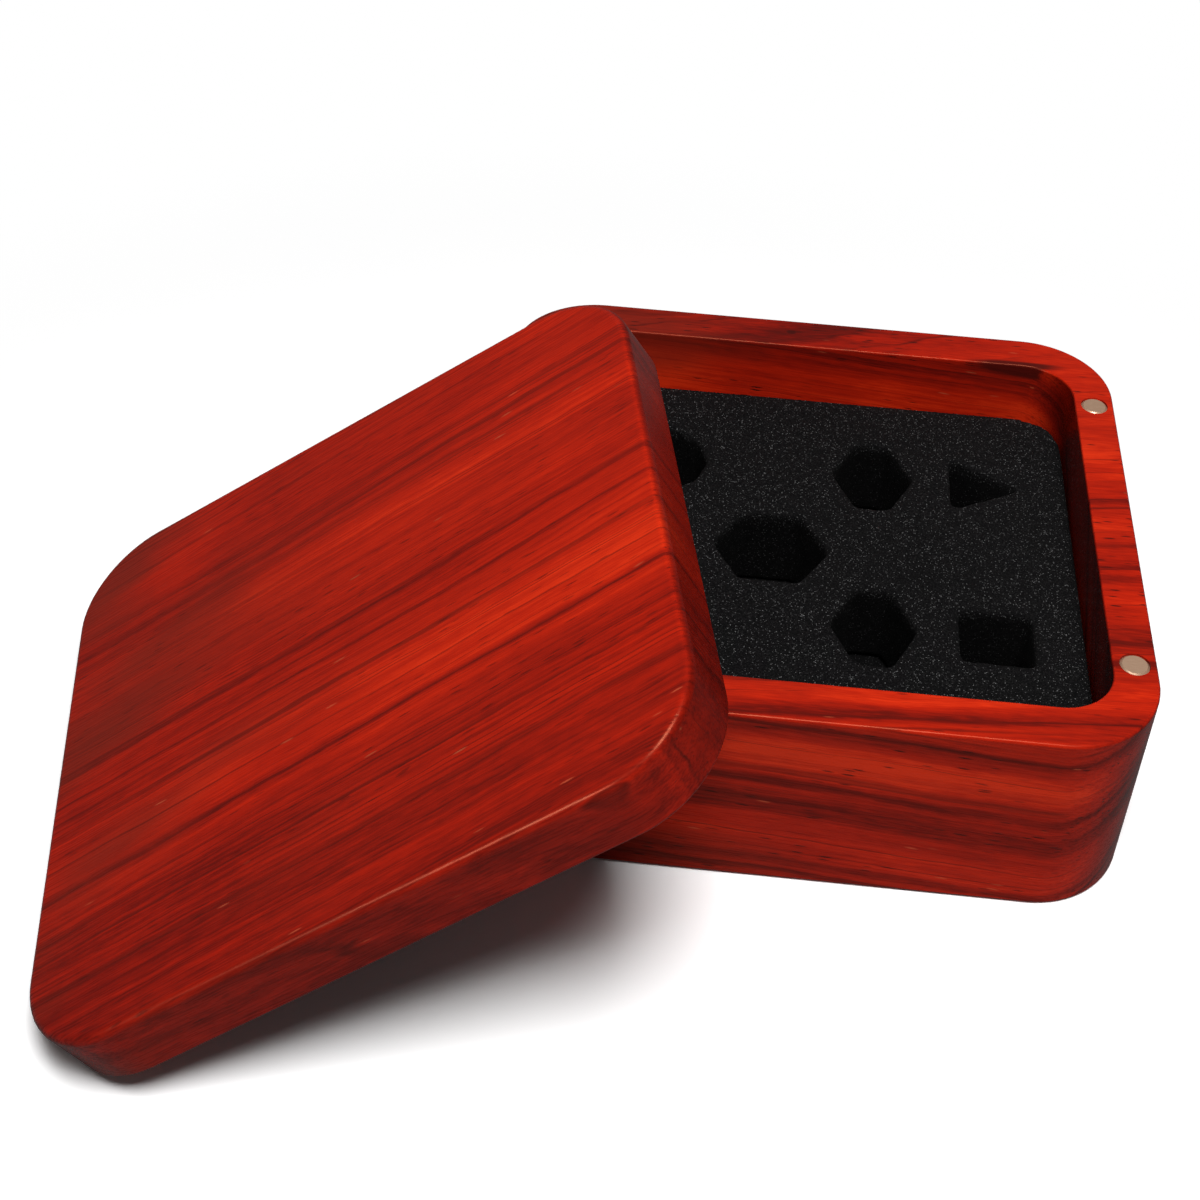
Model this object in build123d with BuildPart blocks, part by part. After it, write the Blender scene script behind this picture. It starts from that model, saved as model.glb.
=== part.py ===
from build123d import *
import os
from math import cos, radians, sin

# A small hardwood chest for a set of seven gaming dice. The box is milled from one block and holds a
# die-cut foam insert. Its loose lid is held shut by disc magnets and leans here on the open box.
# The origin is the centre of the box's underside, +X runs to the right, +Y to the back and +Z up.
# All lengths are in millimetres and all angles in degrees.

# Footprint, shared by the box and the lid
chest_width = 140.0
chest_depth = 133.0
corner_radius = 20.0
edge_ease = 0.7

# Milled box
box_height = 46.0
box_floor = 6.0
side_wall = 9.0
end_wall = 10.5
recess_corner_radius = 11.0
rim_inner_ease = 0.5

# Foam in the box: a cut insert on an uncut pad
foam_below_rim = 14.5
floor_pad_thickness = 5.0
foam_wall_gap = 0.1
pocket_corner_radius = 0.8

# Pockets for the dice, in four columns and two rows, with the largest between the rows
twelve_sided_x = -34.0
twenty_sided_x = -6.5
ten_sided_x = 16.0
small_dice_x = 42.0
back_row_y = 28.0
middle_y = 0.0
front_row_y = -22.5
twenty_sided_across_points = 25.5
twelve_sided_across_points = 23.5
ten_sided_width = 18.5
ten_sided_length = 23.0
ten_sided_flat = 7.5
six_sided_width = 15.5
four_sided_edge = 18.5

# Disc magnets, set flush in the rim and in the lid
magnet_diameter = 6.0
magnet_thickness = 3.0
magnet_edge_bevel = 0.5
magnet_glue_gap = 0.05
magnet_from_end = 24.0

# Lid
lid_thickness = 13.5
lid_round_over = 1.6
lid_pad_thickness = 3.5

# How the lid leans: its left edge stands on the table and its underside rests on the box's rim
lid_yaw = 12.0
lid_tilt = 32.7
lid_shift_along_edge = -39.5
lean_clearance = 0.3

os.makedirs("parts", exist_ok=True)

recess_width = chest_width - 2 * side_wall
recess_depth_y = chest_depth - 2 * end_wall
foam_width = recess_width - 2 * foam_wall_gap
foam_depth_y = recess_depth_y - 2 * foam_wall_gap
foam_corner_radius = recess_corner_radius - foam_wall_gap
foam_top = box_height - foam_below_rim
insert_bottom = box_floor + floor_pad_thickness

magnet_x = chest_width / 2 - side_wall / 2
magnet_y = chest_depth / 2 - magnet_from_end
magnet_bore_depth = magnet_thickness + magnet_glue_gap
magnet_bore_radius = magnet_diameter / 2 + magnet_glue_gap
magnet_corners = {
    "front_left": (-magnet_x, -magnet_y),
    "front_right": (magnet_x, -magnet_y),
    "back_left": (-magnet_x, magnet_y),
    "back_right": (magnet_x, magnet_y),
}

# The lid's plane is its underside. The height of its centre puts the eased lower left edge on the
# table, and the eased rim of the box's front left corner is what holds the underside up.
uphill = Vector(cos(radians(lid_yaw)), sin(radians(lid_yaw)), 0)
along_edge = Vector(-uphill.Y, uphill.X, 0)
lid_slope = uphill * cos(radians(lid_tilt)) + Vector(0, 0, sin(radians(lid_tilt)))
lid_normal = Vector(0, 0, cos(radians(lid_tilt))) - uphill * sin(radians(lid_tilt))
lid_centre_height = (chest_width / 2 - edge_ease) * sin(radians(lid_tilt)) + edge_ease * (
    1 - cos(radians(lid_tilt))
)
corner_centre = Vector(
    corner_radius - chest_width / 2, corner_radius - chest_depth / 2, box_height - edge_ease
)
rim_reach = (corner_radius - edge_ease) * sin(radians(lid_tilt)) + edge_ease
lid_plane_offset = corner_centre.dot(lid_normal) + rim_reach + lean_clearance
lid_centre_uphill = (
    lid_centre_height * cos(radians(lid_tilt)) - lid_plane_offset
) / sin(radians(lid_tilt))
lid_centre = (
    uphill * lid_centre_uphill
    + along_edge * lid_shift_along_edge
    + Vector(0, 0, lid_centre_height)
)
lid_plane = Plane(origin=lid_centre, x_dir=lid_slope, z_dir=lid_normal)


def export_piece(piece, name):
    """Labels a finished piece and writes it under its own name."""
    piece.part.label = name
    export_step(piece.part, f"parts/{name}.step")


# Box body: one block with rounded upright corners, a milled recess, and a bore for each magnet. Its
# rim is sanded round and its underside has a plain chamfer.
with BuildPart() as box_body:
    with BuildSketch(Plane.XY):
        RectangleRounded(chest_width, chest_depth, corner_radius)
    extrude(amount=box_height)
    outer_ends = faces().sort_by(Axis.Z)
    fillet(outer_ends[-1].edges(), edge_ease)
    chamfer(outer_ends[0].edges(), edge_ease)
    with BuildSketch(Plane.XY.offset(box_floor)):
        RectangleRounded(recess_width, recess_depth_y, recess_corner_radius)
    extrude(amount=box_height - box_floor, mode=Mode.SUBTRACT)
    fillet(faces().sort_by(Axis.Z)[-1].inner_wires().edges(), rim_inner_ease)
    with Locations(Plane.XY.offset(box_height)):
        with Locations(*magnet_corners.values()):
            Hole(magnet_bore_radius, magnet_bore_depth)
export_piece(box_body, "box_body")

# Foam pad under the insert: it closes the pockets below
with BuildPart() as foam_floor_pad:
    with BuildSketch(Plane.XY.offset(box_floor)):
        RectangleRounded(foam_width, foam_depth_y, foam_corner_radius)
    extrude(amount=floor_pad_thickness)
export_piece(foam_floor_pad, "foam_floor_pad")


def ten_sided_pocket():
    """Draws a six-cornered pocket, longer than wide, with its points to the left and right."""
    Polygon(
        (-ten_sided_width / 2, 0),
        (-ten_sided_flat / 2, -ten_sided_length / 2),
        (ten_sided_flat / 2, -ten_sided_length / 2),
        (ten_sided_width / 2, 0),
        (ten_sided_flat / 2, ten_sided_length / 2),
        (-ten_sided_flat / 2, ten_sided_length / 2),
    )


# Foam insert: a slab with one pocket right through it for each of the seven dice
four_sided_radius = four_sided_edge / (2 * cos(radians(30)))
with BuildPart() as foam_insert:
    with BuildSketch(Plane.XY.offset(insert_bottom)):
        RectangleRounded(foam_width, foam_depth_y, foam_corner_radius)
    extrude(amount=foam_top - insert_bottom)
    with BuildSketch(Plane.XY.offset(insert_bottom)) as pockets:
        with Locations((twenty_sided_x, middle_y)):
            RegularPolygon(twenty_sided_across_points / 2, 6)
        with Locations((twelve_sided_x, back_row_y)):
            RegularPolygon(twelve_sided_across_points / 2, 10)
        with Locations(
            (ten_sided_x, back_row_y),
            (ten_sided_x, front_row_y),
            (twelve_sided_x, front_row_y),
        ):
            ten_sided_pocket()
        with Locations((small_dice_x, front_row_y)):
            Rectangle(six_sided_width, six_sided_width)
        with Locations((small_dice_x - four_sided_radius / 4, back_row_y)):
            RegularPolygon(four_sided_radius, 3)
        fillet(pockets.vertices(), pocket_corner_radius)
    extrude(amount=foam_top - insert_bottom, mode=Mode.SUBTRACT)
export_piece(foam_insert, "foam_insert")

# Lid body: the box's footprint with a rounded-over top edge, a shallow recess that is as deep as its
# foam pad is thick, and a bore for each magnet
with BuildPart() as lid_body:
    with BuildSketch(lid_plane):
        RectangleRounded(chest_width, chest_depth, corner_radius)
    extrude(amount=lid_thickness)
    lid_ends = faces().sort_by(Axis(lid_plane.origin, lid_normal))
    fillet(lid_ends[-1].edges(), lid_round_over)
    fillet(lid_ends[0].edges(), edge_ease)
    with BuildSketch(lid_plane):
        RectangleRounded(recess_width, recess_depth_y, recess_corner_radius)
    extrude(amount=lid_pad_thickness, mode=Mode.SUBTRACT)
    with BuildSketch(lid_plane):
        with Locations(*magnet_corners.values()):
            Circle(magnet_bore_radius)
    extrude(amount=magnet_bore_depth, mode=Mode.SUBTRACT)
export_piece(lid_body, "lid_body")

# Foam pad in the lid's recess, flush with the lid's underside: the box's rim bears on it here
with BuildPart() as lid_foam_pad:
    with BuildSketch(lid_plane):
        RectangleRounded(foam_width, foam_depth_y, foam_corner_radius)
    extrude(amount=lid_pad_thickness)
export_piece(lid_foam_pad, "lid_foam_pad")

# Disc magnets: four in the rim with their faces up, and four in the lid with their faces down. The
# edge of each outer face is bevelled.
for corner_name, corner_place in magnet_corners.items():
    with BuildPart() as box_magnet:
        with BuildSketch(Plane.XY.offset(box_height)):
            with Locations(corner_place):
                Circle(magnet_diameter / 2)
        extrude(amount=-magnet_thickness)
        chamfer(faces().sort_by(Axis.Z)[-1].edges(), magnet_edge_bevel)
    export_piece(box_magnet, f"box_magnet_{corner_name}")

    with BuildPart() as lid_magnet:
        with BuildSketch(lid_plane):
            with Locations(corner_place):
                Circle(magnet_diameter / 2)
        extrude(amount=magnet_thickness)
        chamfer(faces().sort_by(Axis(lid_plane.origin, lid_normal))[0].edges(), magnet_edge_bevel)
    export_piece(lid_magnet, f"lid_magnet_{corner_name}")
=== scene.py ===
from math import cos, hypot, pi, radians, sin

import bmesh
import bpy
from mathutils import Euler, Matrix, Vector, noise


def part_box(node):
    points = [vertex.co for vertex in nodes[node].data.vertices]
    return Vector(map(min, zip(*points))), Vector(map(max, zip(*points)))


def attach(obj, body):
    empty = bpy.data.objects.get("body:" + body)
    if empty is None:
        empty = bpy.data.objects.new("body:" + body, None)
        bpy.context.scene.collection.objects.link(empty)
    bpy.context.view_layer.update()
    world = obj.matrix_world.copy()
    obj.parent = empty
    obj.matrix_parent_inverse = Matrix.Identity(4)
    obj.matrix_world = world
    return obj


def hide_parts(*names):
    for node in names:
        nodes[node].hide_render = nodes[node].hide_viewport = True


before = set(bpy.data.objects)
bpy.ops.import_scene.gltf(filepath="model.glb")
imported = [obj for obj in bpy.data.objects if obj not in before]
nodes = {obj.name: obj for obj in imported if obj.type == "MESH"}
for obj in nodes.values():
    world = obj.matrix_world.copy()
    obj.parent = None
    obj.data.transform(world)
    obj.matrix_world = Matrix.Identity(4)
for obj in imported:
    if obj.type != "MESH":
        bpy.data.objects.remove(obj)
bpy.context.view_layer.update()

# ---------------------------------------------------------------------------------------------
# Box body. The box is milled from one block of red hardwood, with the grain along its wider side,
# then sanded and rubbed with oil. Its growth rings show as streaks on the faces that run with the
# grain and as arcs of dots on the ends.

vein_dark = (0.055, 0.0058, 0.0045, 1)
deep_red = (0.168, 0.0062, 0.0036, 1)
heart_red = (0.370, 0.0108, 0.0034, 1)
flame_red = (0.535, 0.0165, 0.0036, 1)
ember_orange = (0.760, 0.0330, 0.0060, 1)
dusky_red = (0.180, 0.0165, 0.0085, 1)
pore_brown = (0.038, 0.0050, 0.0040, 1)
# The pale fleck colour is a painted highlight: small specks of light painted into the wood.
painted_highlight_fleck = (0.640, 0.1300, 0.0550, 1)
oil_tint = (1.0, 0.30, 0.16, 1)
end_grain_soak = (0.32, 0.27, 0.26, 1)


def add_node(tree, kind, inputs=None, **settings):
    """Adds a shader node, sets its properties, and fills or links its inputs."""
    node = tree.nodes.new(kind)
    for setting, value in settings.items():
        setattr(node, setting, value)
    for socket, value in (inputs or {}).items():
        if isinstance(value, bpy.types.NodeSocket):
            tree.links.new(value, node.inputs[socket])
        else:
            node.inputs[socket].default_value = value
    return node


def calculate(tree, operation, *values, clamp=False):
    """Adds a math node and returns its result."""
    inputs = dict(enumerate(values))
    return add_node(tree, "ShaderNodeMath", inputs, operation=operation, use_clamp=clamp).outputs[0]


def stretch(tree, vector, scale):
    """Scales a texture's coordinates by a different amount along each axis."""
    return add_node(tree, "ShaderNodeMapping", {"Vector": vector, "Scale": scale}).outputs[0]


def fill_ramp(ramp, stops):
    """Gives a colour ramp its stops, each a position from 0 to 1 and a colour."""
    while len(ramp.elements) < len(stops):
        ramp.elements.new(1)
    for element, (position, colour) in zip(ramp.elements, stops):
        element.position = position
        element.color = colour


def mix_colour(tree, factor, first, second, blend="MIX"):
    """Mixes two colours and returns the result."""
    mixer = add_node(tree, "ShaderNodeMix", data_type="RGBA", blend_type=blend)
    for socket, value in (("Factor_Float", factor), ("A_Color", first), ("B_Color", second)):
        target = next(i for i in mixer.inputs if i.identifier == socket)
        if isinstance(value, bpy.types.NodeSocket):
            tree.links.new(value, target)
        else:
            target.default_value = value
    return next(o for o in mixer.outputs if o.identifier == "Result_Color")


def new_material(name, colour, roughness):
    """Makes a material and returns it with its node tree and its surface shader."""
    material = bpy.data.materials.new(name)
    material.use_nodes = True
    tree = material.node_tree
    surface = tree.nodes["Principled BSDF"]
    surface.inputs["Base Color"].default_value = colour
    surface.inputs["Roughness"].default_value = roughness
    return material, tree, surface


def fine_noise(tree, vector, scale, detail=2):
    """Adds a noise texture, stretched by a different amount along each axis."""
    inputs = {"Vector": stretch(tree, vector, scale), "Scale": 1, "Detail": detail}
    return add_node(tree, "ShaderNodeTexNoise", inputs)


def between(tree, value, start, end, low=0.0, high=1.0):
    """Turns a value's rise from start to end into a smooth rise from low to high."""
    limits = {"From Min": start, "From Max": end, "To Min": low, "To Max": high}
    return add_node(
        tree, "ShaderNodeMapRange", {"Value": value, **limits}, interpolation_type="SMOOTHSTEP"
    ).outputs["Result"]


def vary(tree, base, value, amount):
    """Adds a noise value, centred on nothing, to a base."""
    centred = calculate(tree, "SUBTRACT", value, 0.5)
    return calculate(tree, "MULTIPLY_ADD", centred, amount, base)


def oiled_hardwood(name, block_centre, grain_turn, pith, rings, dusk, pore_depth, marks=()):
    """Wood of one block. pith is where the tree's heart lies, as (across, up) from the block's
    centre in metres, rings lists how bright the wood is at each distance from it, and dusk is where
    along the grain the wood turns duller, as (start, end). marks are dark flaws, each as its centre
    and its half sizes."""
    material, tree, surface = new_material(name, heart_red, 0.3)
    place = add_node(tree, "ShaderNodeTexCoord").outputs["Object"]
    along_grain = add_node(
        tree,
        "ShaderNodeMapping",
        {"Vector": place, "Location": block_centre, "Rotation": grain_turn},
        vector_type="TEXTURE",
    ).outputs[0]

    wood = along_grain
    long_sway, short_sway = ((7, 20, 20), 0.0050), ((60, 240, 240), 0.0011)
    for scale, reach in (long_sway, short_sway):
        sway = fine_noise(tree, along_grain, scale).outputs["Color"]
        sway = add_node(
            tree, "ShaderNodeVectorMath", {0: sway, 1: (0.5, 0.5, 0.5)}, operation="SUBTRACT"
        ).outputs[0]
        wood = add_node(
            tree,
            "ShaderNodeVectorMath",
            {0: sway, 1: (0, reach, reach), 2: wood},
            operation="MULTIPLY_ADD",
        ).outputs[0]
    from_pith = add_node(
        tree, "ShaderNodeVectorMath", {0: wood, 1: (0, *pith)}, operation="SUBTRACT"
    ).outputs[0]
    from_pith = add_node(
        tree, "ShaderNodeVectorMath", {0: from_pith, 1: (0, 1, 1)}, operation="MULTIPLY"
    ).outputs[0]
    radius = add_node(
        tree, "ShaderNodeVectorMath", {0: from_pith}, operation="LENGTH"
    ).outputs["Value"]

    first_ring, last_ring = rings[0][0], rings[-1][0]
    ring_place = calculate(tree, "SUBTRACT", radius, first_ring)
    ring_place = calculate(tree, "DIVIDE", ring_place, last_ring - first_ring, clamp=True)
    ring_ramp = add_node(tree, "ShaderNodeValToRGB", {"Fac": ring_place})
    stops = [
        ((ring - first_ring) / (last_ring - first_ring), (tone, tone, tone, 1))
        for ring, tone in rings
    ]
    fill_ramp(ring_ramp.color_ramp, stops)
    ring_ramp.color_ramp.interpolation = "EASE"

    mottle = fine_noise(tree, wood, (22, 50, 50), 3).outputs["Fac"]
    streaks = fine_noise(tree, wood, (6, 330, 330), 4).outputs["Fac"]
    ripples = fine_noise(tree, wood, (260, 900, 900), 3).outputs["Fac"]
    fibres = fine_noise(tree, wood, (55, 2400, 2400), 3).outputs["Fac"]
    growth_lines_per_metre = 1000
    growth = add_node(
        tree,
        "ShaderNodeTexNoise",
        {
            "W": calculate(tree, "MULTIPLY", radius, growth_lines_per_metre),
            "Scale": 1,
            "Detail": 2,
        },
        noise_dimensions="1D",
    ).outputs["Fac"]

    brighter_per_metre = 0.7
    ring_strength = between(tree, mottle, 0.30, 0.66, 0.55, 1.15)
    ring_tone = calculate(tree, "SUBTRACT", ring_ramp.outputs["Color"], 0.5)
    tone = calculate(tree, "MULTIPLY_ADD", ring_tone, ring_strength, 0.5)
    for value, amount in (
        (mottle, 0.34), (streaks, 0.46), (ripples, 0.24), (fibres, 0.40), (growth, 0.26)
    ):
        tone = vary(tree, tone, value, amount)
    along = add_node(tree, "ShaderNodeSeparateXYZ", {"Vector": wood}).outputs["X"]
    tone = calculate(tree, "MULTIPLY_ADD", along, brighter_per_metre, tone)
    colour_ramp = add_node(tree, "ShaderNodeValToRGB", {"Fac": tone})
    fill_ramp(
        colour_ramp.color_ramp,
        [
            (0.02, vein_dark),
            (0.27, deep_red),
            (0.50, heart_red),
            (0.72, flame_red),
            (0.95, ember_orange),
        ],
    )
    colour = colour_ramp.outputs["Color"]

    patches = fine_noise(tree, wood, (14, 42, 42), 2).outputs["Fac"]
    dull = between(tree, along, dusk[0], dusk[1], 0.10, 0.75)
    dull = calculate(tree, "MULTIPLY", dull, between(tree, patches, 0.36, 0.62))
    colour = mix_colour(tree, dull, colour, dusky_red)

    veins_per_metre, vein_width = 240, 0.022
    vein_noise = add_node(
        tree,
        "ShaderNodeTexNoise",
        {"W": calculate(tree, "MULTIPLY", radius, veins_per_metre), "Scale": 1, "Detail": 1},
        noise_dimensions="1D",
    ).outputs["Fac"]
    vein = calculate(tree, "ABSOLUTE", calculate(tree, "SUBTRACT", vein_noise, 0.5))
    vein = between(tree, vein, 0.0, vein_width, 1.0, 0.0)
    vein = calculate(tree, "MULTIPLY", vein, between(tree, streaks, 0.40, 0.60, 0.10, 0.60))
    colour = mix_colour(tree, vein, colour, vein_dark)

    cells_without_pore, cells_without_highlight, fleck_highlight_strength = 0.52, 0.985, 0.45
    shallowest = 0.14 * pore_depth
    pore_cells = add_node(
        tree,
        "ShaderNodeTexVoronoi",
        {"Vector": stretch(tree, wood, (160, 1150, 1150)), "Scale": 1},
    )
    pore_shape = between(tree, pore_cells.outputs["Distance"], 0.12, 0.30, 1.0, 0.0)
    pick = add_node(tree, "ShaderNodeSeparateColor", {"Color": pore_cells.outputs["Color"]})
    clusters = fine_noise(tree, wood, (16, 90, 90), 1).outputs["Fac"]
    pore_strength = between(tree, clusters, 0.44, 0.60, shallowest, pore_depth)
    pore = calculate(tree, "GREATER_THAN", pick.outputs["Red"], cells_without_pore)
    pore = calculate(tree, "MULTIPLY", pore, pore_shape)
    pore = calculate(tree, "MULTIPLY", pore, pore_strength)
    colour = mix_colour(tree, pore, colour, pore_brown)
    # Painted highlights: a few pore cells are painted pale, standing in for specks of light.
    painted_fleck_highlight = calculate(tree, "GREATER_THAN", pick.outputs["Green"], cells_without_highlight)
    fleck_highlight_shape = calculate(tree, "MULTIPLY", pore_shape, fleck_highlight_strength)
    painted_fleck_highlight = calculate(tree, "MULTIPLY", painted_fleck_highlight, fleck_highlight_shape)
    colour = mix_colour(tree, painted_fleck_highlight, colour, painted_highlight_fleck)

    for centre, half_sizes in marks:
        offset = add_node(
            tree, "ShaderNodeVectorMath", {0: along_grain, 1: centre}, operation="SUBTRACT"
        ).outputs[0]
        offset = add_node(
            tree, "ShaderNodeVectorMath", {0: offset, 1: half_sizes}, operation="DIVIDE"
        ).outputs[0]
        reach = add_node(
            tree, "ShaderNodeVectorMath", {0: offset}, operation="LENGTH"
        ).outputs["Value"]
        ragged_edge = 1.6
        reach = vary(tree, reach, streaks, ragged_edge)
        stain = between(tree, reach, 0.5, 1.1, 0.9, 0.0)
        colour = mix_colour(tree, stain, colour, vein_dark)

    facing = add_node(tree, "ShaderNodeTexCoord").outputs["Normal"]
    grain_axis = Euler(grain_turn).to_matrix() @ Vector((1, 0, 0))
    end_grain = add_node(
        tree, "ShaderNodeVectorMath", {0: facing, 1: grain_axis}, operation="DOT_PRODUCT"
    ).outputs["Value"]
    end_grain = calculate(tree, "ABSOLUTE", end_grain)
    end_grain = between(tree, end_grain, 0.35, 0.95, 0.0, 0.80)
    colour = mix_colour(tree, end_grain, colour, end_grain_soak, "MULTIPLY")

    pore_relief = 0.00008
    fibre_height = calculate(tree, "MULTIPLY", fibres, 0.5)
    height = calculate(tree, "MULTIPLY_ADD", pore, -1.0, fibre_height)
    relief = add_node(
        tree, "ShaderNodeBump", {"Height": height, "Strength": 0.4, "Distance": pore_relief}
    ).outputs["Normal"]
    smoothest, fibre_roughness = 0.18, 0.20
    polish = calculate(tree, "MULTIPLY_ADD", fibres, fibre_roughness, smoothest)
    tree.links.new(colour, surface.inputs["Base Color"])
    tree.links.new(relief, surface.inputs["Normal"])
    tree.links.new(polish, surface.inputs["Roughness"])
    surface.inputs["Specular IOR Level"].default_value = 0.30
    surface.inputs["Specular Tint"].default_value = oil_tint
    return material


def dress(node_name, material):
    """Gives a node of the frame its finish."""
    slots = nodes[node_name].material_slots
    for slot in slots:
        slot.material = material
    if not slots:
        nodes[node_name].data.materials.append(material)


box_low, box_high = (Vector(corner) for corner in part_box("box_body"))
box_grain_slope = radians(4.3)
box_pith = (0.100, -0.143)
box_rings = (
    (0.1640, 0.80),
    (0.1693, 0.32),
    (0.1700, 0.18),
    (0.1717, 0.38),
    (0.1760, 0.80),
    (0.1850, 0.92),
    (0.1920, 0.84),
    (0.1938, 0.62),
    (0.1947, 0.08),
    (0.1956, 0.55),
    (0.1990, 0.86),
    (0.2012, 0.60),
    (0.2020, 0.25),
    (0.2028, 0.60),
    (0.2052, 0.55),
    (0.2060, 0.15),
    (0.2068, 0.50),
    (0.2078, 0.30),
    (0.2088, 0.60),
    (0.2125, 0.66),
    (0.2155, 0.56),
    (0.2175, 0.32),
    (0.2190, 0.16),
    (0.2202, 0.42),
    (0.2215, 0.48),
    (0.2228, 0.18),
    (0.2240, 0.58),
    (0.2265, 0.82),
    (0.2300, 0.84),
    (0.2318, 0.42),
    (0.2330, 0.24),
    (0.2351, 0.60),
)
pin_knot = ((-0.0067, 0.0615, 0.0224), (0.0012, 0.0008, 0.0030))
corner_streak = ((0.0472, 0.0560, 0.0262), (0.0120, 0.0016, 0.0034))
box_wood = oiled_hardwood(
    "box_hardwood",
    block_centre=(box_low + box_high) / 2,
    grain_turn=(0, box_grain_slope, 0),
    pith=box_pith,
    rings=box_rings,
    dusk=(0.02, -0.06),
    pore_depth=0.90,
    marks=(pin_knot, corner_streak),
)
dress("box_body", box_wood)

# ---------------------------------------------------------------------------------------------
# Foam in the box. A sheet of charcoal open-cell foam with a die-cut pocket for each die lies on an
# uncut sheet that closes the pockets below. It is pushed in, and its cut edges are soft and ragged.

foam_black = (0.0016, 0.0016, 0.0018, 1)
foam_grey = (0.0096, 0.0090, 0.0093, 1)
painted_foam_glint = (0.50, 0.50, 0.50, 1)


def open_cell_foam(name, painted_shade_below=None):
    """Matt foam: dark cells between grey walls, with painted glints: bright specks painted into the
    colour in random cells.
    Below the height it is given, in the pockets, the colour is painted darker: painted shade."""
    cells_per_metre, clumps_per_metre, glint_cells_per_metre = 2600, 420, 3500
    pocket_shade, shade_reach = 0.65, 0.0035
    material, tree, surface = new_material(name, foam_grey, 0.95)
    place = add_node(tree, "ShaderNodeTexCoord").outputs["Object"]
    cells = fine_noise(tree, place, (cells_per_metre,) * 3, 2).outputs["Fac"]
    clumps = fine_noise(tree, place, (clumps_per_metre,) * 3, 2).outputs["Fac"]
    walls = between(tree, cells, 0.36, 0.70)
    light = calculate(tree, "MULTIPLY", walls, between(tree, clumps, 0.25, 0.70, 0.55, 1.15))
    colour = mix_colour(tree, light, foam_black, foam_grey)
    # Painted glints: random cells get bright specks painted into the colour, whichever way they
    # face.
    glint_cells = add_node(
        tree, "ShaderNodeTexVoronoi", {"Vector": place, "Scale": glint_cells_per_metre}
    )
    glint_pick = add_node(tree, "ShaderNodeSeparateColor", {"Color": glint_cells.outputs["Color"]})
    painted_glint = between(tree, glint_pick.outputs["Red"], 0.74, 1.0, 0.0, 0.40)
    painted_glint = calculate(tree, "MULTIPLY", painted_glint, glint_pick.outputs["Green"])
    near_middle = calculate(tree, "LESS_THAN", glint_cells.outputs["Distance"], 0.42)
    colour = mix_colour(tree, calculate(tree, "MULTIPLY", painted_glint, near_middle), colour, painted_foam_glint)
    # Painted shade: below the given height, in the pockets, the colour is darkened towards black.
    if painted_shade_below:
        height = add_node(tree, "ShaderNodeSeparateXYZ", {"Vector": place}).outputs["Z"]
        painted_pocket_shade = between(tree, height, painted_shade_below - shade_reach, painted_shade_below, pocket_shade, 0.0)
        colour = mix_colour(tree, painted_pocket_shade, colour, (0, 0, 0, 1))
    relief = add_node(
        tree, "ShaderNodeBump", {"Height": light, "Strength": 0.6, "Distance": 0.0003}
    ).outputs["Normal"]
    tree.links.new(colour, surface.inputs["Base Color"])
    tree.links.new(relief, surface.inputs["Normal"])
    surface.inputs["Specular IOR Level"].default_value = 0.1
    return material


def upright_solid(corners, corner_radius, bottom, top):
    """A bmesh of an upright solid on a flat outline whose corners are rounded."""
    solid = bmesh.new()
    outline = solid.faces.new([solid.verts.new((x, y, bottom)) for x, y in corners])
    bmesh.ops.bevel(
        solid,
        geom=solid.verts[:],
        offset=corner_radius,
        offset_type="OFFSET",
        segments=6,
        profile=0.5,
        affect="VERTICES",
        material=-1,
    )
    raised = bmesh.ops.extrude_face_region(solid, geom=solid.faces[:])["geom"]
    lifted = [part for part in raised if isinstance(part, bmesh.types.BMVert)]
    bmesh.ops.translate(solid, verts=lifted, vec=(0, 0, top - bottom))
    bmesh.ops.recalc_face_normals(solid, faces=solid.faces[:])
    return solid


def as_object(name, solid):
    """Turns a bmesh into an object of the scene."""
    mesh = bpy.data.meshes.new(name)
    solid.to_mesh(mesh)
    solid.free()
    made = bpy.data.objects.new(name, mesh)
    bpy.context.scene.collection.objects.link(made)
    return made


def apply_modifiers(piece):
    """Puts the result of a piece's modifiers in its mesh."""
    depsgraph = bpy.context.evaluated_depsgraph_get()
    finished = bpy.data.meshes.new_from_object(piece.evaluated_get(depsgraph))
    piece.modifiers.clear()
    piece.data = finished


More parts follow.
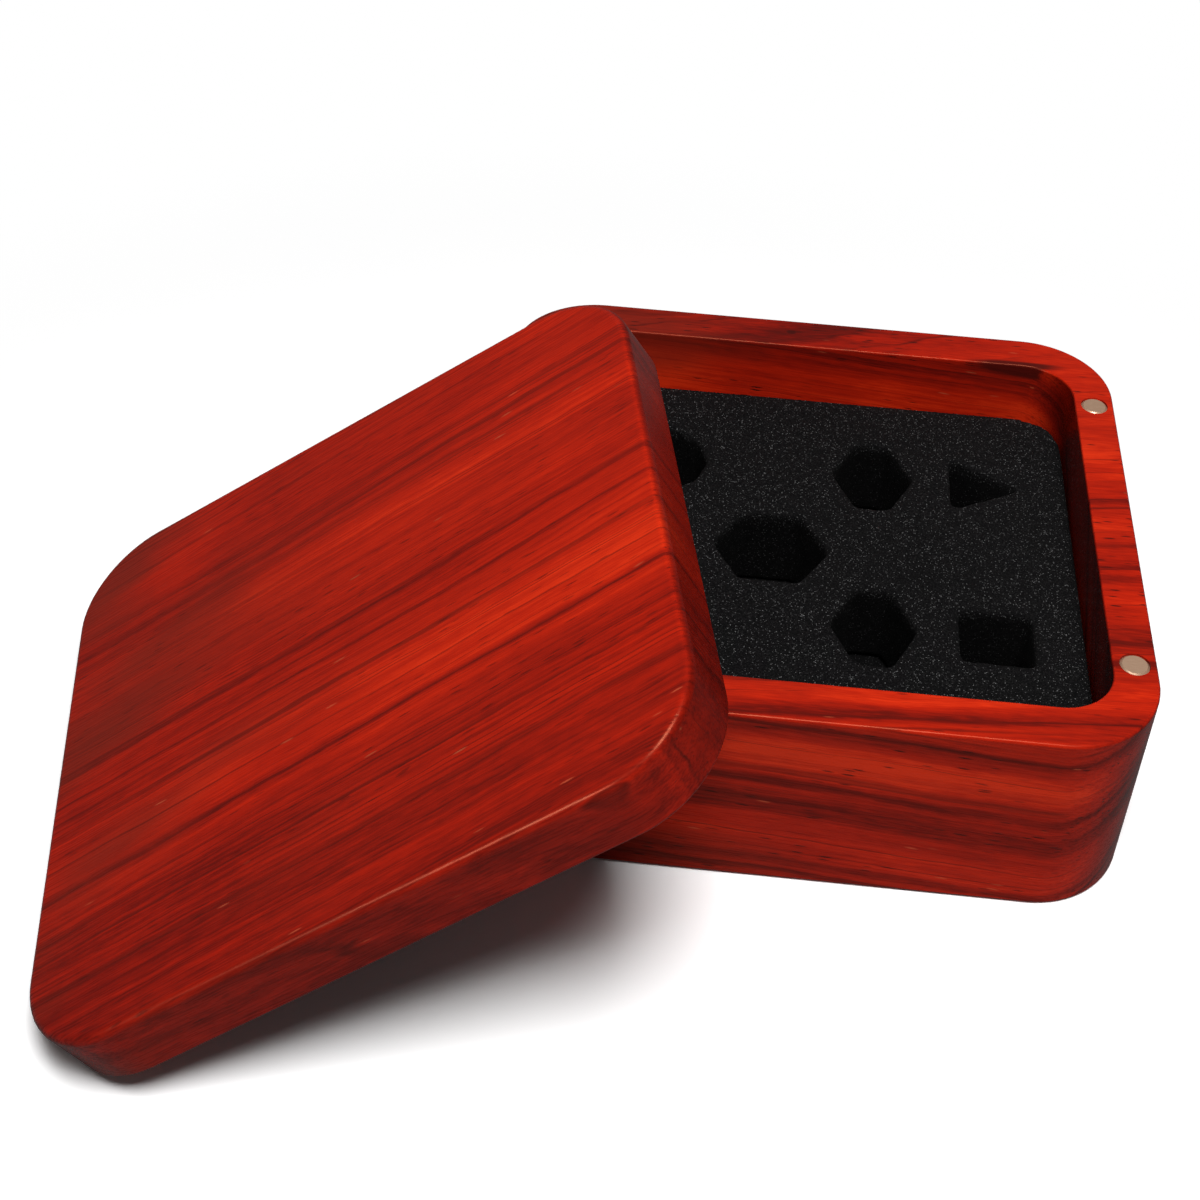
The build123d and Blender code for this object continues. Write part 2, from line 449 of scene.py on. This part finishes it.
def foam_sheet(name, low, high, corner_radius, pockets, cell, turn=Matrix()):
    """A sheet of foam between two corners, cut with pockets, then remeshed and roughened."""
    inset = 0.00015
    smoothing_passes = 5
    ragged_height, uneven_height, sunk = 0.00014, 0.00020, 0.0003
    edge_drop, edge_width, snug_rim = 0.0007, 0.004, 0.0008
    x_edge, y_edge = high.x - inset, high.y - inset
    x_start, y_start = low.x + inset, low.y + inset
    outline = [(x_start, y_start), (x_edge, y_start), (x_edge, y_edge), (x_start, y_edge)]
    sheet = as_object(name, upright_solid(outline, corner_radius, low.z, high.z))
    if pockets:
        beyond = 0.002
        cutters = bmesh.new()
        for corners, radius in pockets:
            cutter = upright_solid(corners, radius, low.z - beyond, high.z + beyond)
            held = bpy.data.meshes.new("cutter")
            cutter.to_mesh(held)
            cutter.free()
            cutters.from_mesh(held)
            bpy.data.meshes.remove(held)
        cutting = as_object("pocket_cutters", cutters)
        cut = sheet.modifiers.new("pockets", "BOOLEAN")
        cut.operation = "DIFFERENCE"
        cut.solver = "EXACT"
        cut.object = cutting
        apply_modifiers(sheet)
        bpy.data.objects.remove(cutting)
    remesh = sheet.modifiers.new("cells", "REMESH")
    remesh.mode = "VOXEL"
    remesh.voxel_size = cell
    apply_modifiers(sheet)

    surface = bmesh.new()
    surface.from_mesh(sheet.data)
    for _ in range(smoothing_passes):
        bmesh.ops.smooth_vert(
            surface,
            verts=surface.verts[:],
            factor=0.5,
            use_axis_x=True,
            use_axis_y=True,
            use_axis_z=True,
        )
    surface.normal_update()
    middle = (low + high) / 2
    half_x, half_y = (high.x - low.x) / 2, (high.y - low.y) / 2
    for vertex in surface.verts:
        spot = vertex.co.copy()
        ragged = noise.noise(spot * 900) * ragged_height
        uneven = noise.noise(spot * 70) * uneven_height
        from_wall = min(half_x - abs(spot.x - middle.x), half_y - abs(spot.y - middle.y))
        if spot.z > middle.z and from_wall > snug_rim:
            vertex.co += vertex.normal * ragged
            vertex.co.z += uneven - sunk
        drawn_in = edge_drop * max(0, 1 - from_wall / edge_width) ** 2
        if spot.z > middle.z:
            vertex.co.z -= drawn_in
    surface.transform(turn)
    surface.to_mesh(sheet.data)
    surface.free()
    sheet.data.shade_smooth()
    return sheet


def ring_of_corners(centre, radius, count, turn=0.0):
    """The corners of an even outline, such as a pocket's."""
    step = 2 * pi / count
    return [
        (centre[0] + radius * cos(turn + step * i), centre[1] + radius * sin(turn + step * i))
        for i in range(count)
    ]


def long_corners(centre, width, length, flat):
    """The corners of a six-cornered pocket that is longer than wide."""
    x, y = centre
    return [
        (x - width / 2, y),
        (x - flat / 2, y - length / 2),
        (x + flat / 2, y - length / 2),
        (x + width / 2, y),
        (x + flat / 2, y + length / 2),
        (x - flat / 2, y + length / 2),
    ]


insert_low, insert_high = (Vector(corner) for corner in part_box("foam_insert"))
pad_low, pad_high = (Vector(corner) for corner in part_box("foam_floor_pad"))
foam_corner_radius = 0.0109
pocket_corner_radius = 0.0008
left_column, middle_column, third_column, right_column = -0.034, -0.0065, 0.016, 0.042
back_row, front_row = 0.028, -0.0225
four_sided_radius = 0.0185 / (2 * cos(radians(30)))
six_sided_half = 0.0155 / 2
long_pocket = {"width": 0.0185, "length": 0.023, "flat": 0.0075}
insert_pockets = [
    (ring_of_corners((middle_column, 0), 0.0255 / 2, 6), pocket_corner_radius),
    (ring_of_corners((left_column, back_row), 0.0235 / 2, 10), pocket_corner_radius),
    (long_corners((third_column, back_row), **long_pocket), pocket_corner_radius),
    (long_corners((third_column, front_row), **long_pocket), pocket_corner_radius),
    (long_corners((left_column, front_row), **long_pocket), pocket_corner_radius),
    (
        ring_of_corners((right_column, front_row), six_sided_half * 2**0.5, 4, radians(45)),
        pocket_corner_radius,
    ),
    (
        ring_of_corners((right_column - four_sided_radius / 4, back_row), four_sided_radius, 3),
        pocket_corner_radius,
    ),
]
soft_edge = 0.0008
fine_cell, plain_cell = 0.0008, 0.0012
# The foam's colour is painted darker below its soft top edge: painted shade in the pockets.
foam = open_cell_foam("charcoal_foam", insert_high.z - soft_edge)
insert = foam_sheet(
    "cut_foam_sheet", insert_low, insert_high, foam_corner_radius, insert_pockets, fine_cell
)
floor_pad = foam_sheet(
    "floor_foam_sheet", pad_low, pad_high, foam_corner_radius, [], plain_cell
)
for sheet, replaced in ((insert, "foam_insert"), (floor_pad, "foam_floor_pad")):
    sheet.data.materials.append(foam)
    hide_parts(replaced)
    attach(sheet, "box")

# ---------------------------------------------------------------------------------------------
# Lid. The lid is a slab of the same wood, rounded over above. It leans on the box, so its grain
# is turned with it. Its rings run almost straight along it and climb a little to the right.

lid_yaw, lid_tilt = radians(12.0), radians(32.7)
lid_turn = Euler((0, -lid_tilt, lid_yaw)).to_matrix()


def turned_box(node_name, turn):
    """A node's lowest and highest corners, measured along the axes of a turned piece."""
    corners = [turn.transposed() @ vertex.co for vertex in nodes[node_name].data.vertices]
    low = Vector(map(min, *corners))
    high = Vector(map(max, *corners))
    return low, high


lid_low, lid_high = turned_box("lid_body", lid_turn)
lid_centre = lid_turn @ ((lid_low + lid_high) / 2)
lid_grain_slope = radians(3.4)
lid_grain_turn = (lid_turn @ Euler((0, 0, lid_grain_slope)).to_matrix()).to_euler()
lid_pith_across, lid_pith_down = 0.350, -0.030
half_lid = (lid_high.z - lid_low.z) / 2
lid_bands = (
    (0.072, 0.48),
    (0.062, 0.56),
    (0.050, 0.52),
    (0.0398, 0.52),
    (0.0385, 0.34),
    (0.0372, 0.54),
    (0.029, 0.68),
    (0.022, 0.56),
    (0.014, 0.50),
    (0.0060, 0.54),
    (0.0050, 0.24),
    (0.0040, 0.52),
    (-0.0015, 0.52),
    (-0.0025, 0.28),
    (-0.0035, 0.55),
    (-0.010, 0.60),
    (-0.017, 0.74),
    (-0.0248, 0.64),
    (-0.0260, 0.24),
    (-0.0272, 0.56),
    (-0.033, 0.52),
    (-0.0355, 0.32),
    (-0.0372, 0.48),
    (-0.0415, 0.40),
    (-0.0435, 0.48),
    (-0.0482, 0.46),
    (-0.0495, 0.28),
    (-0.0510, 0.38),
    (-0.0575, 0.36),
    (-0.0605, 0.40),
    (-0.0660, 0.32),
    (-0.072, 0.28),
)
lid_rings = [
    (hypot(lid_pith_across - across, half_lid - lid_pith_down), tone) for across, tone in lid_bands
]
lid_wood = oiled_hardwood(
    "lid_hardwood",
    block_centre=lid_centre,
    grain_turn=lid_grain_turn,
    pith=(lid_pith_across, lid_pith_down),
    rings=lid_rings,
    dusk=(0.01, -0.06),
    pore_depth=0.50,
)
dress("lid_body", lid_wood)

# ---------------------------------------------------------------------------------------------
# Foam pad in the lid. A thin uncut sheet of the same foam fills the recess in the lid's underside
# and lies flush with it.

lid_pad_low, lid_pad_high = turned_box("lid_foam_pad", lid_turn)
lid_pad = foam_sheet(
    "lid_foam_sheet",
    lid_pad_low,
    lid_pad_high,
    foam_corner_radius,
    [],
    plain_cell,
    lid_turn.to_4x4(),
)
lid_pad.data.materials.append(open_cell_foam("charcoal_pad_foam"))
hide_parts("lid_foam_pad")
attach(lid_pad, "lid")

# ---------------------------------------------------------------------------------------------
# Magnets. Eight discs of pressed powder, plated with nickel and glued flush in their bores. The
# plating's colour is painted warm and dull: painted reflection of the red wood around it. It has
# fine scuffs.

# Painted reflection: the plating's colour is warm brown for the red wood that it mirrors.
nickel_and_painted_reflection = (0.84, 0.56, 0.38, 1)
magnet_plating, plating_tree, plating = new_material("nickel_plating", nickel_and_painted_reflection, 0.3)
plating.inputs["Metallic"].default_value = 0.55
plating_place = add_node(plating_tree, "ShaderNodeTexCoord").outputs["Object"]
scuffs = add_node(
    plating_tree,
    "ShaderNodeTexNoise",
    {"Vector": stretch(plating_tree, plating_place, (900, 3200, 900)), "Scale": 1, "Detail": 4},
).outputs["Fac"]
smoothest_plating, scuffed = 0.18, 0.35
scuff_roughness = calculate(
    plating_tree, "MULTIPLY_ADD", scuffs, scuffed, smoothest_plating
)
# Scuffed colour: darker wear, and warm with the same painted reflection.
scuffed_nickel_and_painted_reflection = (0.52, 0.31, 0.20, 1)
plating_tree.links.new(scuff_roughness, plating.inputs["Roughness"])
plating_tree.links.new(
    mix_colour(plating_tree, scuffs, nickel_and_painted_reflection, scuffed_nickel_and_painted_reflection), plating.inputs["Base Color"]
)
for node_name in nodes:
    if "magnet" in node_name:
        dress(node_name, magnet_plating)

# ---------------------------------------------------------------------------------------------
# Floor and world. A white floor that fades into a white surround for the camera, and keeps the
# soft shadow under the lid. It throws back less light than the camera sees in it.

floor_size = 6.0
seen_white, thrown_white, mirrored_white = 1.22, 0.46, 0.15
under_lid = (-0.046, -0.040, 0)
fade_start, fade_end = 0.13, 0.27
floor_mesh = bmesh.new()
bmesh.ops.create_grid(floor_mesh, x_segments=1, y_segments=1, size=floor_size / 2)
bmesh.ops.translate(floor_mesh, verts=floor_mesh.verts[:], vec=(0, 0, -0.0001))
floor = as_object("floor", floor_mesh)
floor_white, floor_tree, floor_surface = new_material("white_floor", (0.82, 0.82, 0.82, 1), 1.0)
floor_rays = add_node(floor_tree, "ShaderNodeLightPath")
seen, mirrored = floor_rays.outputs["Is Camera Ray"], floor_rays.outputs["Is Glossy Ray"]
paper = mix_colour(floor_tree, seen, (*[thrown_white] * 3, 1), (*[seen_white] * 3, 1))
paper = mix_colour(floor_tree, mirrored, paper, (*[mirrored_white] * 3, 1))
matt_white = add_node(floor_tree, "ShaderNodeBsdfDiffuse", {"Color": paper}).outputs[0]
floor_place = add_node(floor_tree, "ShaderNodeTexCoord").outputs["Object"]
distance = add_node(
    floor_tree,
    "ShaderNodeVectorMath",
    {0: floor_place, 1: under_lid},
    operation="DISTANCE",
).outputs["Value"]
far = between(floor_tree, distance, fade_start, fade_end)
plain_white = add_node(
    floor_tree, "ShaderNodeEmission", {"Color": (1, 1, 1, 1), "Strength": 1.0}
).outputs[0]
faded = add_node(
    floor_tree,
    "ShaderNodeMixShader",
    {0: calculate(floor_tree, "MULTIPLY", far, seen), 1: matt_white, 2: plain_white},
).outputs[0]
floor_tree.nodes.remove(floor_surface)
floor_tree.links.new(faded, floor_tree.nodes["Material Output"].inputs["Surface"])
floor.data.materials.append(floor_white)

world = bpy.data.worlds.new("surround")
bpy.context.scene.world = world
world.use_nodes = True
world_tree = world.node_tree
ambient, reflected = 0.055, 0.11
backdrop = add_node(world_tree, "ShaderNodeLightPath")
world_strength = calculate(
    world_tree, "MULTIPLY_ADD", backdrop.outputs["Is Camera Ray"], 1.0 - ambient, ambient
)
world_strength = calculate(
    world_tree,
    "MULTIPLY_ADD",
    backdrop.outputs["Is Glossy Ray"],
    reflected - ambient,
    world_strength,
)
surround = world_tree.nodes["Background"]
surround.inputs["Color"].default_value = (1, 1, 1, 1)
world_tree.links.new(world_strength, surround.inputs["Strength"])

# ---------------------------------------------------------------------------------------------
# Lamps. A soft box above the front edge gives nearly all of the light. A small lamp at the far left
# gives gloss alone: it draws the line of light along the lid's front edge.


def soft_box(name, place, aim, width, height, power):
    """Adds an area lamp that points from its place at a spot on the object, and returns it."""
    lamp = bpy.data.lights.new(name, "AREA")
    lamp.shape = "RECTANGLE"
    lamp.size = width
    lamp.size_y = height
    lamp.energy = power
    holder = bpy.data.objects.new(name, lamp)
    holder.location = place
    holder.rotation_mode = "QUATERNION"
    holder.rotation_quaternion = (Vector(aim) - Vector(place)).to_track_quat("-Z", "Y")
    bpy.context.scene.collection.objects.link(holder)
    return holder


aim = (-0.02, 0, 0.03)
soft_box("front_box", (0.05, -0.35, 0.97), aim, 0.36, 0.36, 10.8)
edge_lamp = soft_box("edge_lamp", (-0.63, -0.75, 0.56), aim, 0.24, 0.24, 5.5)
edge_lamp.visible_diffuse = False

# ---------------------------------------------------------------------------------------------
# Camera. It stands before the object's front edge and above it, and looks down at about forty
# degrees. Its shift stands for the way that the photograph is cropped.

camera_data = bpy.data.cameras.new("camera")
camera_data.lens = 58.57
camera_data.sensor_width = 36.0
camera_data.shift_x = -0.025
camera_data.shift_y = -0.125
camera = bpy.data.objects.new("camera", camera_data)
camera.location = (-0.01945, -0.32580, 0.31334)
camera.rotation_euler = (radians(51.533), radians(-2.417), radians(5.282))
bpy.context.scene.collection.objects.link(camera)
bpy.context.scene.camera = camera

bpy.context.scene.view_settings.view_transform = "Standard"
